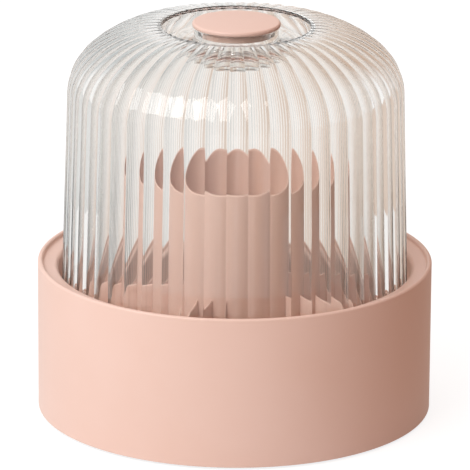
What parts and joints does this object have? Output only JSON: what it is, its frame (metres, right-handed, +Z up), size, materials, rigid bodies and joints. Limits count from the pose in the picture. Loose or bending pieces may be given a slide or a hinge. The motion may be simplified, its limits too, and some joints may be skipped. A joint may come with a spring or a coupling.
{
  "type": "rotating cosmetics organizer",
  "caption": "Round dressing-table organizer: drum base, turning divided tray on a ball race, lift-out brush cup and a fluted clear dome cover with a knob.",
  "frame": {"origin": "on the table, under the middle of the drum", "axes": "+Z up along the tray's turning axis; the picture is taken from -Y, with +X to its right"},
  "size_m": [0.23, 0.23, 0.233],
  "materials": {
    "pink_abs": "fine satin moulding",
    "clear_polystyrene": "polished, transparent",
    "foot_rubber": "matte",
    "race_acetal": "smooth natural acetal",
    "steel": "bright zinc plate"
  },
  "bodies": {
    "base": {"drum_shell": "pink_abs", "base_plate": "pink_abs", "plate_screws": "steel", "foot_pad_1": "foot_rubber", "foot_pad_2": "foot_rubber", "foot_pad_3": "foot_rubber", "foot_pad_4": "foot_rubber", "foot_pad_5": "foot_rubber", "foot_pad_6": "foot_rubber", "lower_race": "race_acetal", "pivot_bush": "race_acetal"},
    "rotor": {"tray": "pink_abs", "upper_race": "race_acetal", "pivot_screw": "steel", "pivot_washer": "steel"},
    "ball_ring": {"ball_retainer": "race_acetal", "bearing_balls": "steel"},
    "cup": {"brush_cup": "pink_abs"},
    "cover": {"dome_cover": "clear_polystyrene", "lid_knob": "pink_abs"}
  },
  "joints": [
    {"name": "tray_spin", "type": "hinge", "parent": "base", "child": "rotor", "pos_m": [0, 0, 0.0135], "axis": [0, 0, 1], "continuous": true},
    {"name": "ball_ring_spin", "type": "hinge", "parent": "base", "child": "ball_ring", "pos_m": [0, 0, 0.01], "axis": [0, 0, 1], "continuous": true},
    {"name": "cup_lift", "type": "slide", "parent": "rotor", "child": "cup", "axis": [0, 0, 1], "range_m": [0, 0.05]},
    {"name": "cover_lift", "type": "slide", "parent": "base", "child": "cover", "axis": [0, 0, 1], "range_m": [0, 0.1]}
  ],
  "couplings": [
    {"joint": "ball_ring_spin", "follows": "tray_spin", "ratio": 0.5}
  ]
}
